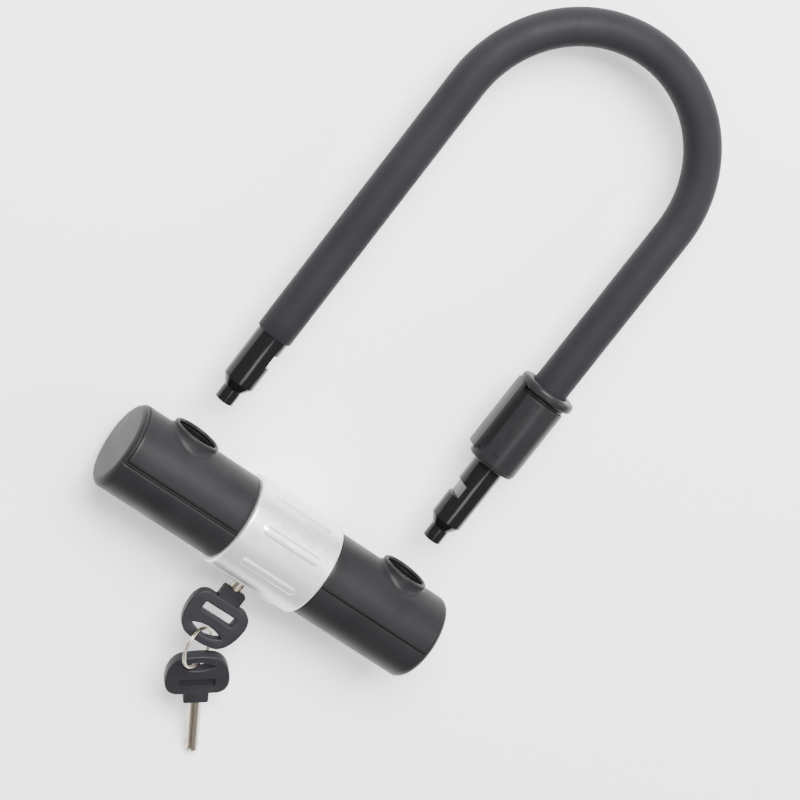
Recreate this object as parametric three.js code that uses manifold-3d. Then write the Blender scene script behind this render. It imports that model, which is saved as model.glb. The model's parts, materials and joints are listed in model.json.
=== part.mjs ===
// A bicycle U-lock with its shackle drawn out of the crossbar and its keys in place.
// Millimetres. X runs along the crossbar, Y points from the crossbar towards the bow of the
// shackle, Z is up. The lock lies flat, and the origin is under the middle of its box.
import * as THREE from 'three';
import { mergeVertices } from 'three/addons/utils/BufferGeometryUtils.js';
import Module from 'manifold-3d';

const wasm = await Module();
wasm.setup();

// Clearances
const GAP = 0.3;
const OVERSHOOT = 5;
const ROUND = 36;
const FINE_ROUND = 24;

// Crossbar
const BAR_HALF = 80.5;
const COVER_R = 19.5;
const COVER_END_ROUND = 3.4;
const END_FACE = 2.5;
const TUBE_R = 15.5;
const TUBE_BORE_R = 13;
const TUBE_HALF = 77.4;
const COLLAR_R = 21.5;
const COLLAR_HALF = 21.2;
const COLLAR_ROUND = 0.9;
const RIB_COUNT = 8;
const RIB_LENGTH = 28;
const RIB_WIDTH = 4;
const RIB_HEIGHT = 0.6;

// Sockets for the legs
const LEG_X = 55.2;
const LEG_BORE_R = 7.6;
const RIM_TOP = 21.6;
const RIM_R = 10.9;
const RIM_BORE_R = 9;
const RIM_LIP = 1.4;
const NECK_BORE_R = 9.9;
const NECK_FLARE_R = 14;
const LINER_R = 9.55;
const LINER_BORE_R = 8.45;
const LINER_TOP = 19.8;

// Shackle, measured from the ends of its legs
const ROD_R = 6.9;
const TIP_R = 7.1;
const PIN_R = 4.15;
const PIN_LENGTH = 6.5;
const CONE_TOP = 10.5;
const COATING_R = 8;
const COATING_BORE_R = 7.4;
const COATING_START_LEFT = 34.5;
const COATING_START_RIGHT = 43.5;
const BEND_CENTRE = 163.6;
const NOTCH_Y = 25;
const NOTCH_WIDTH = 7;
const NOTCH_DEPTH = 3;
const SLEEVE_START = 40.7;
const SLEEVE_END = 81.7;
const SLEEVE_BORE_R = 8.35;
const SLEEVE_R = 11.4;
const FLANGE_R = 12.9;
const FLANGE_LENGTH = 4.2;

// Travel of the shackle
const LOCKED_TIP_Y = -16.5;
const DRAWN_OUT = 55.5;

// Lock mechanism, on the Y axis
const LOCK_FRONT = -19.3;
const BEZEL_FRONT = -19;
const HOUSING_FRONT = -16.4;
const HOUSING_BACK = 5.1;
const HOUSING_R = 9.6;
const HOUSING_BORE_R = 7.2;
const CORE_R = 6.9;
const CORE_BORE_R = 6;
const CORE_WALL = 1.7;
const CORE_BACK = 5.1;
const CORE_BACK_WALL = 1;
const DISC_COUNT = 6;
const DISC_R = 5.7;
const DISC_THICK = 1.8;
const DISC_FIRST_Y = -17;
const DISC_PITCH = 3.4;
const CAM_FRONT = 5.5;
const CAM_BACK = 9.8;
const CAM_LOW_R = 3.5;
const CAM_HIGH_R = 8;
const BOLT_Y = 8.5;
const BOLT_R = 3;
const BOLT_NOSE_R = 1.2;
const BOLT_INNER = 4.6;
const BOLT_OUTER = 46.3;
const GUIDE_INNER = 32;
const GUIDE_OUTER = 41;
const PIN_X = 8.75;
const PIN_Y = -8;
const ROLL_PIN_R = 1.1;

// Keys, measured from the shoulder of the neck: blade towards +Y, bow towards -Y
const KEY_SHOULDER_Y = -25.8;
const NECK_LENGTH = 5.5;
const NECK_WIDTH = 10.8;
const BOW_THICK = 5;
const BOW_EDGE = -27.4;
const SLOT_Y = -21.5;
const SLOT_HALF = 7.6;
const WINDOW_Y = -12.4;
const WINDOW_WIDTH = 15.6;
const WINDOW_HEIGHT = 4.1;
const RECESS_DEPTH = 1;
const BLADE_R = 3.05;
const BLADE_FLAT_Z = -1.3;
const BLADE_LENGTH = 29.5;
const TANG_LENGTH = 4.5;
const RING_R = 9.2;
const RING_WIRE_R = 0.75;

// How the ring leans in the two key slots, and how the second key hangs from it, in degrees
const RING_AXIS = [0.6904, 0.262, 0.6743];
const RING_HEADING = 13.9;
const RING_IN_SLOT_A = [-0.5, 0.4];
const KEY_B_ON_RING = 29.6;
const KEY_B_HEADING = 35.9;
const KEY_B_DROOP = 19.2;
const RING_IN_SLOT_B = [0.1, -0.1];

const rad = THREE.MathUtils.degToRad;

function toSolid(geometry) {
  const bare = new THREE.BufferGeometry();
  bare.setAttribute('position', geometry.getAttribute('position'));
  if (geometry.index) bare.setIndex(geometry.index);
  const merged = mergeVertices(bare, 1e-4);
  const corners = merged.index.array;
  const kept = [];
  for (let i = 0; i < corners.length; i += 3) {
    const [a, b, c] = [corners[i], corners[i + 1], corners[i + 2]];
    if (a !== b && b !== c && c !== a) kept.push(a, b, c);
  }
  const vertProperties = new Float32Array(merged.getAttribute('position').array);
  return new wasm.Manifold(new wasm.Mesh({ numProp: 3, vertProperties, triVerts: new Uint32Array(kept) }));
}

function toGeometry(solid) {
  const mesh = solid.getMesh();
  const geometry = new THREE.BufferGeometry();
  geometry.setAttribute('position', new THREE.BufferAttribute(new Float32Array(mesh.vertProperties), 3));
  geometry.setIndex(new THREE.BufferAttribute(new Uint32Array(mesh.triVerts), 1));
  geometry.computeVertexNormals();
  return geometry;
}

function join(...geometries) {
  return toGeometry(geometries.map(toSolid).reduce((whole, piece) => whole.add(piece)));
}

function cut(geometry, ...tools) {
  return toGeometry(tools.map(toSolid).reduce((whole, tool) => whole.subtract(tool), toSolid(geometry)));
}

function common(geometry, tool) {
  return toGeometry(toSolid(geometry).intersect(toSolid(tool)));
}

function box(x0, x1, y0, y1, z0, z1) {
  const geometry = new THREE.BoxGeometry(x1 - x0, y1 - y0, z1 - z0);
  return geometry.translate((x0 + x1) / 2, (y0 + y1) / 2, (z0 + z1) / 2);
}

// A rod along Y, and the same solid turned to lie along X or Z.
function rod(radius, y0, y1, sides = FINE_ROUND) {
  return new THREE.CylinderGeometry(radius, radius, y1 - y0, sides).translate(0, (y0 + y1) / 2, 0);
}

function alongX(geometry) {
  return geometry.rotateZ(-Math.PI / 2);
}

function alongZ(geometry) {
  return geometry.rotateX(Math.PI / 2);
}

// A solid turned about Y from [radius, height] pairs, listed outer wall upwards.
function turned(pairs, sides = ROUND) {
  return new THREE.LatheGeometry(pairs.map(([r, y]) => new THREE.Vector2(r, y)), sides);
}

function ring(outer, inner, y0, y1, sides = FINE_ROUND) {
  return turned([[inner, y0], [outer, y0], [outer, y1], [inner, y1], [inner, y0]], sides);
}

// An outline in X and Z, pushed through from y0 to y1.
function pushedAlongY(shape, y0, y1) {
  const geometry = new THREE.ExtrudeGeometry(shape, { depth: y1 - y0, bevelEnabled: false, curveSegments: 6 });
  return geometry.rotateX(Math.PI / 2).translate(0, y1, 0);
}

// An outline in X and Y, centred on z.
function plate(shape, thickness, z = 0) {
  const geometry = new THREE.ExtrudeGeometry(shape, { depth: thickness, bevelEnabled: false, curveSegments: 5 });
  return geometry.translate(0, 0, z - thickness / 2);
}

function arcPoints(centreR, centreY, radius, fromDegrees, toDegrees, count) {
  return Array.from({ length: count + 1 }, (_, i) => {
    const angle = rad(fromDegrees + (toDegrees - fromDegrees) * i / count);
    return [centreR + radius * Math.cos(angle), centreY + radius * Math.sin(angle)];
  });
}

// ---- Crossbar ----

function crossbarTube() {
  const tube = alongX(ring(TUBE_R, TUBE_BORE_R, -TUBE_HALF, TUBE_HALF, ROUND));
  const cuts = [rod(HOUSING_R + GAP, -TUBE_R - OVERSHOOT, 0)];
  for (const side of [-1, 1]) {
    cuts.push(rod(LEG_BORE_R, 0, TUBE_R + OVERSHOOT).translate(side * LEG_X, 0, 0));
    cuts.push(rod(PIN_R + 2 * GAP, -TUBE_R - OVERSHOOT, 0).translate(side * LEG_X, 0, 0));
  }
  cuts.push(housingPinRod(ROLL_PIN_R + GAP, TUBE_R + OVERSHOOT));
  return cut(tube, ...cuts);
}

// The closed plastic cover of one end, before it is split into two shells.
function coverBody() {
  const start = COLLAR_HALF + GAP;
  const inner = TUBE_R + GAP;
  const round = arcPoints(COVER_R - COVER_END_ROUND, BAR_HALF - COVER_END_ROUND, COVER_END_ROUND, 0, 90, 4);
  const profile = [[inner, start], [COVER_R, start], ...round, [0, BAR_HALF],
    [0, BAR_HALF - END_FACE], [inner, BAR_HALF - END_FACE], [inner, start]];
  return alongX(turned(profile));
}

function upperHalf(offset) {
  const far = BAR_HALF + OVERSHOOT;
  const split = BAR_HALF - END_FACE - GAP / 2;
  return box(0, split + offset, -offset, far, -far, far);
}

function coverUpper() {
  const shell = common(coverBody(), upperHalf(-GAP / 2));
  const neck = turned([[0, TUBE_R - 2], [NECK_FLARE_R, TUBE_R - 2], [NECK_FLARE_R, 15.6], [12, 17.6],
    [RIM_R, 19.2], [RIM_R, RIM_TOP - 0.5], [RIM_R - 0.5, RIM_TOP], [0, RIM_TOP]]).translate(LEG_X, 0, 0);
  const tubeRoom = alongX(rod(TUBE_R + GAP, 0, BAR_HALF - END_FACE, ROUND));
  const neckBore = rod(NECK_BORE_R, 0, RIM_TOP - RIM_LIP).translate(LEG_X, 0, 0);
  const rimBore = rod(RIM_BORE_R, 0, RIM_TOP + OVERSHOOT).translate(LEG_X, 0, 0);
  return cut(join(shell, neck), tubeRoom, neckBore, rimBore);
}

function coverLower() {
  const pinRoom = rod(PIN_R + 2 * GAP, -COVER_R + 2, 0).translate(LEG_X, 0, 0);
  return cut(coverBody(), upperHalf(GAP / 2), pinRoom);
}

// Left pieces are the right ones turned half round about Y.
function turnedLeft(geometry) {
  return geometry.clone().rotateY(Math.PI);
}

function collarSleeve() {
  const inner = TUBE_R + GAP;
  const edge = COLLAR_HALF - COLLAR_ROUND;
  const shell = alongX(turned([[inner, -COLLAR_HALF], [COLLAR_R - COLLAR_ROUND, -COLLAR_HALF],
    [COLLAR_R, -edge], [COLLAR_R, edge], [COLLAR_R - COLLAR_ROUND, COLLAR_HALF],
    [inner, COLLAR_HALF], [inner, -COLLAR_HALF]]));
  const ribs = Array.from({ length: RIB_COUNT }, (_, i) => collarRib(rad((i + 0.5) * 360 / RIB_COUNT)));
  return cut(join(shell, ...ribs), rod(HOUSING_R + GAP, -COLLAR_R - OVERSHOOT, 0));
}

function collarRib(angle) {
  const end = RIB_LENGTH / 2 - RIB_WIDTH / 2;
  const outline = new THREE.Shape();
  outline.absarc(end, 0, RIB_WIDTH / 2, -Math.PI / 2, Math.PI / 2);
  outline.absarc(-end, 0, RIB_WIDTH / 2, Math.PI / 2, 3 * Math.PI / 2);
  const height = 2;
  const rib = new THREE.ExtrudeGeometry(outline, { depth: height, bevelEnabled: false, curveSegments: 5 });
  return rib.rotateX(-Math.PI / 2).translate(0, COLLAR_R + RIB_HEIGHT - height, 0).rotateX(angle);
}

function socketLiner() {
  return ring(LINER_R, LINER_BORE_R, TUBE_R + GAP, LINER_TOP);
}

// ---- Lock mechanism ----

function lockHousing() {
  const body = ring(HOUSING_R, HOUSING_BORE_R, HOUSING_FRONT, HOUSING_BACK, ROUND);
  return cut(body, housingPinRod(ROLL_PIN_R + GAP, TUBE_R));
}

function housingPinRod(radius, halfLength) {
  return alongZ(rod(radius, -halfLength, halfLength, 16)).translate(PIN_X, PIN_Y, 0);
}

function housingPin() {
  return housingPinRod(ROLL_PIN_R, Math.sqrt(TUBE_R ** 2 - (PIN_Y - ROLL_PIN_R) ** 2) - GAP);
}

function keywayBezel() {
  return ring(HOUSING_R, HOUSING_BORE_R, BEZEL_FRONT, HOUSING_FRONT - GAP);
}

// The half-round section of the key blade, grown by a clearance for the keyways it passes.
function bladeSection(grow = 0) {
  const section = new THREE.Shape();
  const radius = BLADE_R + grow;
  section.moveTo(-radius, BLADE_FLAT_Z - grow);
  section.lineTo(radius, BLADE_FLAT_Z - grow);
  section.absarc(0, BLADE_FLAT_Z, radius, 0, Math.PI);
  section.closePath();
  return section;
}

function keywayCut(y0, y1) {
  return pushedAlongY(bladeSection(GAP + 0.1), y0, y1);
}

function lockCore() {
  const cup = ring(CORE_R, CORE_BORE_R, LOCK_FRONT, CORE_BACK);
  const face = rod(CORE_R - 0.2, LOCK_FRONT, LOCK_FRONT + CORE_WALL);
  const back = rod(CORE_R - 0.2, CORE_BACK - CORE_BACK_WALL, CORE_BACK);
  const dogHole = rod(2, CORE_BACK - 2 * CORE_BACK_WALL, CORE_BACK + OVERSHOOT);
  return cut(join(cup, face, back), keywayCut(LOCK_FRONT - OVERSHOOT, LOCK_FRONT + 2 * CORE_WALL), dogHole);
}

function detainerDisc(index) {
  const front = DISC_FIRST_Y + index * DISC_PITCH;
  return cut(rod(DISC_R, front, front + DISC_THICK, 24), keywayCut(front - 1, front + DISC_THICK + 1));
}

// Two rising lobes: the radius under each bolt grows evenly as the core turns a quarter turn.
function lockCam() {
  const outline = new THREE.Shape();
  const steps = 48;
  for (let i = 0; i < steps; i += 1) {
    const angle = 2 * Math.PI * i / steps;
    const radius = camRadius(angle);
    const place = [radius * Math.cos(angle), radius * Math.sin(angle)];
    if (i === 0) outline.moveTo(...place);
    else outline.lineTo(...place);
  }
  outline.closePath();
  const dog = rod(1.7, CORE_BACK - CORE_BACK_WALL + GAP, CAM_FRONT + 1, 16);
  return join(pushedAlongY(outline, CAM_FRONT, CAM_BACK), dog);
}

function camRadius(angle) {
  const quarter = Math.PI / 2;
  const within = (angle + quarter) % Math.PI;
  const rise = CAM_HIGH_R - CAM_LOW_R;
  if (within <= quarter) return CAM_HIGH_R - rise * within / quarter;
  return CAM_LOW_R + rise * Math.max(0, (2 * within) / quarter - 3);
}

function bolt() {
  const noseEnd = BOLT_INNER + 2.4;
  const profile = [[0, BOLT_INNER], [BOLT_NOSE_R, BOLT_INNER], [BOLT_R, noseEnd],
    [BOLT_R, BOLT_OUTER - 0.6], [BOLT_R - 0.6, BOLT_OUTER], [0, BOLT_OUTER]];
  return alongX(turned(profile, 24)).translate(0, BOLT_Y, 0);
}

function boltGuide() {
  const guide = alongX(rod(TUBE_BORE_R - GAP, GUIDE_INNER, GUIDE_OUTER, ROUND));
  const bore = alongX(rod(BOLT_R + GAP, GUIDE_INNER - 1, GUIDE_OUTER + 1, 24)).translate(0, BOLT_Y, 0);
  return cut(guide, bore);
}

// ---- Shackle ----

// Down one leg, round the bow and back up the other leg, with one step for each straight leg.
class ShackleLine extends THREE.Curve {
  constructor(leftStart, rightStart, bowSteps) {
    super();
    Object.assign(this, { leftStart, rightStart, bowSteps, steps: bowSteps + 2 });
  }

  getPoint(t) {
    const place = t * this.steps;
    if (place < 1) {
      return new THREE.Vector3(-LEG_X, THREE.MathUtils.lerp(this.leftStart, BEND_CENTRE, place), 0);
    }
    if (place > this.steps - 1) {
      const down = place - (this.steps - 1);
      return new THREE.Vector3(LEG_X, THREE.MathUtils.lerp(BEND_CENTRE, this.rightStart, down), 0);
    }
    const angle = Math.PI * (1 - (place - 1) / this.bowSteps);
    return new THREE.Vector3(LEG_X * Math.cos(angle), BEND_CENTRE + LEG_X * Math.sin(angle), 0);
  }

  getPointAt(u) {
    return this.getPoint(u);
  }

  getTangentAt(u) {
    return this.getTangent(u);
  }

  getSpacedPoints(divisions) {
    return this.getPoints(divisions);
  }
}

function sweptShackle(radius, boreRadius, leftStart, rightStart) {
  const section = new THREE.Shape();
  section.absarc(0, 0, radius, 0, 2 * Math.PI);
  if (boreRadius) {
    const bore = new THREE.Path();
    bore.absarc(0, 0, boreRadius, 0, 2 * Math.PI);
    section.holes.push(bore);
  }
  const line = new ShackleLine(leftStart, rightStart, 20);
  return new THREE.ExtrudeGeometry(section, { steps: line.steps, extrudePath: line, curveSegments: 10 });
}

function legTip(side, length) {
  const profile = [[0, 0], [PIN_R - 0.5, 0], [PIN_R, 0.5], [PIN_R, PIN_LENGTH], [TIP_R, CONE_TOP],
    [TIP_R, length], [0, length]];
  const notchFloor = LEG_X - TIP_R + NOTCH_DEPTH;
  const notch = box(notchFloor - OVERSHOOT - NOTCH_DEPTH, notchFloor,
    NOTCH_Y - NOTCH_WIDTH / 2, NOTCH_Y + NOTCH_WIDTH / 2, -COATING_R, COATING_R);
  const tip = cut(turned(profile, 24).translate(LEG_X, 0, 0), notch);
  return side < 0 ? tip.rotateY(Math.PI) : tip;
}

function shackleRod() {
  const bow = sweptShackle(ROD_R, 0, COATING_START_LEFT - 4, COATING_START_RIGHT - 4);
  return join(bow, legTip(-1, COATING_START_LEFT - 1), legTip(1, COATING_START_RIGHT - 1));
}

function shackleCoating() {
  return sweptShackle(COATING_R, COATING_BORE_R, COATING_START_LEFT, COATING_START_RIGHT);
}

// The sleeve on the right leg: a collar at its upper end and a rail down its inner side.
function carrierSleeve() {
  const body = ring(SLEEVE_R, SLEEVE_BORE_R, SLEEVE_START + 1, SLEEVE_END - FLANGE_LENGTH + 1);
  const foot = turned([[SLEEVE_BORE_R, SLEEVE_START], [SLEEVE_R - 0.7, SLEEVE_START],
    [SLEEVE_R - 0.02, SLEEVE_START + 1.4], [SLEEVE_BORE_R, SLEEVE_START + 1.4],
    [SLEEVE_BORE_R, SLEEVE_START]], FINE_ROUND);
  const base = SLEEVE_END - FLANGE_LENGTH;
  const flange = turned([[SLEEVE_BORE_R, base], [FLANGE_R, base], [FLANGE_R, SLEEVE_END - 1],
    [FLANGE_R - 1, SLEEVE_END], [SLEEVE_BORE_R, SLEEVE_END], [SLEEVE_BORE_R, base]], FINE_ROUND);
  const rail = box(-FLANGE_R, -SLEEVE_R + 2, SLEEVE_START + 3, base + 1, -4, 6);
  return join(body, foot, flange, rail);
}

// ---- Keys ----

function bowOutline() {
  const shape = new THREE.Shape();
  const start = -NECK_LENGTH;
  shape.moveTo(-8.6, start - 0.2);
  shape.bezierCurveTo(-12.6, start - 0.8, -14.1, start - 4.2, -13.9, start - 8.4);
  shape.bezierCurveTo(-13.7, start - 13.7, -12, BOW_EDGE + 2.5, -7.4, BOW_EDGE + 0.9);
  shape.quadraticCurveTo(0, BOW_EDGE - 0.9, 7.4, BOW_EDGE + 0.9);
  shape.bezierCurveTo(12, BOW_EDGE + 2.5, 13.7, start - 13.7, 13.9, start - 8.4);
  shape.bezierCurveTo(14.1, start - 4.2, 12.6, start - 0.8, 8.6, start - 0.2);
  shape.closePath();
  return shape;
}

function ringSlot() {
  const slot = new THREE.Path();
  slot.moveTo(-SLOT_HALF, SLOT_Y + 0.3);
  slot.quadraticCurveTo(0, SLOT_Y - 5, SLOT_HALF, SLOT_Y + 0.3);
  slot.quadraticCurveTo(0, SLOT_Y + 4.8, -SLOT_HALF, SLOT_Y + 0.3);
  return slot;
}

function windowBox(z0, z1) {
  const halfWidth = WINDOW_WIDTH / 2;
  const halfHeight = WINDOW_HEIGHT / 2;
  return box(-halfWidth, halfWidth, WINDOW_Y - halfHeight, WINDOW_Y + halfHeight, z0, z1);
}

function keyBow(openWindow) {
  const outline = bowOutline();
  outline.holes.push(ringSlot());
  const half = NECK_WIDTH / 2;
  const neck = box(-half, half, -NECK_LENGTH - 2, 0, -BOW_THICK / 2 + 0.2, BOW_THICK / 2 - 0.2);
  const tangRoom = pushedAlongY(bladeSection(GAP), -TANG_LENGTH - GAP, OVERSHOOT);
  const face = BOW_THICK / 2;
  const windows = openWindow ? [windowBox(-face - 1, face + 1)]
    : [windowBox(face - RECESS_DEPTH, face + 1), windowBox(-face - 1, -face + RECESS_DEPTH)];
  return cut(join(plate(outline, BOW_THICK), neck), tangRoom, ...windows);
}

// A half-round blade with a groove down its round side and steps cut near its tip.
function keyBlade() {
  const bar = pushedAlongY(bladeSection(), -TANG_LENGTH, BLADE_LENGTH);
  const top = BLADE_R + OVERSHOOT;
  const cuts = [box(0.5, 1.5, 0, BLADE_LENGTH + 1, 0.3, top)];
  for (const side of [-1, 1]) {
    const edges = [side * (BLADE_R - 0.5), side * top].sort((a, b) => a - b);
    cuts.push(box(...edges, BLADE_LENGTH - 8, BLADE_LENGTH - 3.6, -top, top));
    const deep = [side * (BLADE_R - 1.1), side * top].sort((a, b) => a - b);
    cuts.push(box(...deep, BLADE_LENGTH - 5.2, BLADE_LENGTH - 3.6, -top, top));
  }
  return cut(bar, ...cuts);
}

// ---- Assembly ----

const steel = () => new THREE.MeshStandardMaterial({ color: 0x8f9296, roughness: 0.35, metalness: 1 });
const blackSteel = () => new THREE.MeshStandardMaterial({ color: 0x1b1c1f, roughness: 0.25, metalness: 0.8 });
const blackPlastic = () => new THREE.MeshStandardMaterial({ color: 0x232326, roughness: 0.5, metalness: 0 });
const blackVinyl = () => new THREE.MeshStandardMaterial({ color: 0x2e2f33, roughness: 0.6, metalness: 0 });
const satinSilver = () => new THREE.MeshStandardMaterial({ color: 0xc9cacb, roughness: 0.38, metalness: 0.9 });
const brass = () => new THREE.MeshStandardMaterial({ color: 0xb08d4c, roughness: 0.35, metalness: 1 });
const nickel = () => new THREE.MeshStandardMaterial({ color: 0xb9b2a2, roughness: 0.28, metalness: 1 });

function piece(name, geometry, material) {
  const mesh = new THREE.Mesh(geometry, material);
  mesh.name = name;
  return mesh;
}

function crossbarPieces() {
  const group = new THREE.Group();
  const upper = coverUpper();
  const lower = coverLower();
  group.add(piece('crossbar_tube', crossbarTube(), steel()));
  group.add(piece('collar_sleeve', collarSleeve(), satinSilver()));
  group.add(piece('cover_right_upper', upper, blackPlastic()));
  group.add(piece('cover_right_lower', lower, blackPlastic()));
  group.add(piece('cover_left_upper', turnedLeft(upper), blackPlastic()));
  group.add(piece('cover_left_lower', turnedLeft(lower), blackPlastic()));
  for (const [side, x] of [['left', -LEG_X], ['right', LEG_X]]) {
    const liner = piece(`socket_liner_${side}`, socketLiner(), blackVinyl());
    liner.position.x = x;
    group.add(liner);
  }
  return group;
}

function mechanismPieces() {
  const group = new THREE.Group();
  group.add(piece('lock_housing', lockHousing(), brass()));
  group.add(piece('housing_pin', housingPin(), steel()));
  group.add(piece('keyway_bezel', keywayBezel(), steel()));
  group.add(piece('lock_core', lockCore(), brass()));
  for (let i = 0; i < DISC_COUNT; i += 1) {
    group.add(piece(`detainer_disc_${i + 1}`, detainerDisc(i), brass()));
  }
  group.add(piece('lock_cam', lockCam(), steel()));
  group.add(piece('bolt_right', bolt(), steel()));
  group.add(piece('bolt_left', turnedLeft(bolt()), steel()));
  group.add(piece('bolt_guide_right', boltGuide(), steel()));
  group.add(piece('bolt_guide_left', turnedLeft(boltGuide()), steel()));
  return group;
}

function shacklePieces() {
  const group = new THREE.Group();
  group.add(piece('shackle_rod', shackleRod(), blackSteel()));
  group.add(piece('shackle_coating', shackleCoating(), blackVinyl()));
  const sleeve = piece('carrier_sleeve', carrierSleeve(), blackPlastic());
  sleeve.position.x = LEG_X;
  group.add(sleeve);
  group.position.y = LOCKED_TIP_Y + DRAWN_OUT;
  return group;
}

function keyPieces(letter, openWindow) {
  const group = new THREE.Group();
  group.add(piece(`key_${letter}_bow`, keyBow(openWindow), blackPlastic()));
  group.add(piece(`key_${letter}_blade`, keyBlade(), nickel()));
  return group;
}

// The ring leaves the first key's slot along its heading, and the second key hangs on its far side.
function keysOnRing() {
  const group = new THREE.Group();
  const keyA = keyPieces('a', true);
  keyA.position.y = KEY_SHOULDER_Y;
  group.add(keyA);

  const axis = new THREE.Vector3(...RING_AXIS).normalize();
  const heading = new THREE.Vector3(Math.sin(rad(RING_HEADING)), -Math.cos(rad(RING_HEADING)), 0);
  heading.projectOnPlane(axis).normalize();
  const side = axis.clone().cross(heading);
  const slotA = new THREE.Vector3(RING_IN_SLOT_A[0], KEY_SHOULDER_Y + SLOT_Y + RING_IN_SLOT_A[1], 0);
  const centre = slotA.clone().addScaledVector(heading, RING_R);

  const ringPiece = piece('key_ring', new THREE.TorusGeometry(RING_R, RING_WIRE_R, 8, 30), nickel());
  ringPiece.quaternion.setFromRotationMatrix(new THREE.Matrix4().makeBasis(heading, side, axis));
  ringPiece.position.copy(centre);
  group.add(ringPiece);

  const keyB = keyPieces('b', false);
  const onRing = heading.clone().applyAxisAngle(axis, rad(KEY_B_ON_RING)).multiplyScalar(RING_R);
  keyB.rotation.set(-rad(KEY_B_DROOP), 0, rad(KEY_B_HEADING - 180), 'ZYX');
  const slotB = new THREE.Vector3(RING_IN_SLOT_B[0], SLOT_Y + RING_IN_SLOT_B[1], 0);
  keyB.position.copy(centre).add(onRing).sub(slotB.applyEuler(keyB.rotation));
  group.add(keyB);
  return group;
}

const lock = new THREE.Group();
lock.add(crossbarPieces(), mechanismPieces(), shacklePieces(), keysOnRing());
lock.updateMatrixWorld(true);
const extent = new THREE.Box3().setFromObject(lock, true);
lock.position.set(-(extent.min.x + extent.max.x) / 2, -(extent.min.y + extent.max.y) / 2, -extent.min.z);

export default lock;
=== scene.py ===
import json
import math

import bpy
import bmesh
import numpy as np
from mathutils import Matrix, Vector


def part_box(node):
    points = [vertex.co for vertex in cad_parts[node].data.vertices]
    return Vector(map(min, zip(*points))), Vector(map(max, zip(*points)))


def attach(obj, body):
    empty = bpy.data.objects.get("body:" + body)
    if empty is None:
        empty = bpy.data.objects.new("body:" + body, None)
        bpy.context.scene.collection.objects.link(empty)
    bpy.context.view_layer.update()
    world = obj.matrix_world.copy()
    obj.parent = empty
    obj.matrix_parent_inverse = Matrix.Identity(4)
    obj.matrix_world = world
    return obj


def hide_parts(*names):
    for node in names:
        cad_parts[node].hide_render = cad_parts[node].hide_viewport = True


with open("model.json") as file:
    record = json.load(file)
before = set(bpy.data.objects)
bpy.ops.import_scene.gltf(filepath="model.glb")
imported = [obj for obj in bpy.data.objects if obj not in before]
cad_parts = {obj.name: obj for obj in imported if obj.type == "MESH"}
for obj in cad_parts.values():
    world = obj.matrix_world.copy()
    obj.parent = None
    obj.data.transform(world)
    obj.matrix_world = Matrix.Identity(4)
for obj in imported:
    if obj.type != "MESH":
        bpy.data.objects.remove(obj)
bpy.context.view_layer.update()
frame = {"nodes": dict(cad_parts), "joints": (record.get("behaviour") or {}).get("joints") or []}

# ---------------------------------------------------------------------------
# Sizes, in millimetres. Pieces are built in millimetres and placed in metres.
# ---------------------------------------------------------------------------
MM = 0.001

# Covers: X runs along the crossbar from its middle, the sockets open towards +Y
COVER_R = 19.5
COVER_INNER_R = 16.2
QUARTER_ARC = math.pi / 2 * COVER_R
COVER_START = 21.5
COVER_SPLIT = 77.7
BAR_HALF = 80.5
END_ROUND = 3.4
END_DOME = 0.3
SEAM_GAP = 0.15
SPLIT_GAP = 0.3
SEAM_EDGE = 0.35
SEAM_EDGE_DROP = 0.3
LOWER_THICKNESS = 1.0
GROOVE_OFFSET = 1.3
GROOVE_DEPTH = 0.5
GROOVE_WIDTH = 0.26

# Collar, its ribs and the round opening for the keyway's ring
COLLAR_R = 21.5
COLLAR_HALF = 21.2
COLLAR_INNER_R = 15.9
COLLAR_EDGE = 1.0
COLLAR_STEPS = 384
KEYWAY_BORE_R = 9.9
RIB_COUNT = 8
RIB_LENGTH = 28.0
RIB_WIDTH = 4.0
RIB_HEIGHT = 0.6

# Sockets
LEG_X = 55.2
RIM_TOP = 21.6
RIM_R = 10.9
RIM_BORE_R = 9.0
RIM_LIP = 0.85
NECK_BORE_R = 9.9
NECK_REACH = 12.9
SOCKET_LOW = 15.6
LINER_R = 9.55
LINER_BORE_R = 8.45
LINER_LOW = 15.8
LINER_TOP = 19.8

# Shackle: Y runs from the tips of the legs towards the bow
ROD_R = 6.9
TIP_R = 7.1
PIN_R = 4.15
PIN_LENGTH = 6.5
CONE_TOP = 10.5
COATING_R = 8.0
COATING_BORE_R = 7.25
COATING_EDGE = 0.35
COATING_START_LEFT = 34.5
COATING_START_RIGHT = 43.5
BEND_CENTRE = 163.6
NOTCH_Y = 25.0
NOTCH_DEPTH = 3.0
NOTCH_FLOOR_HALF = 2.95
NOTCH_MOUTH_HALF = 3.5
NOTCH_OVERCUT = 2.0

# Sleeve on the right leg, along the same Y
SLEEVE_START = 40.7
SLEEVE_END = 81.7
SLEEVE_BORE_R = 8.4
SLEEVE_R = 11.3
FLANGE_R = 12.9
FLANGE_LENGTH = 4.2
RAIL_LOW_Z = -4.2
RAIL_HIGH_Z = 4.6
RAIL_THICK = 1.5

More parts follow.
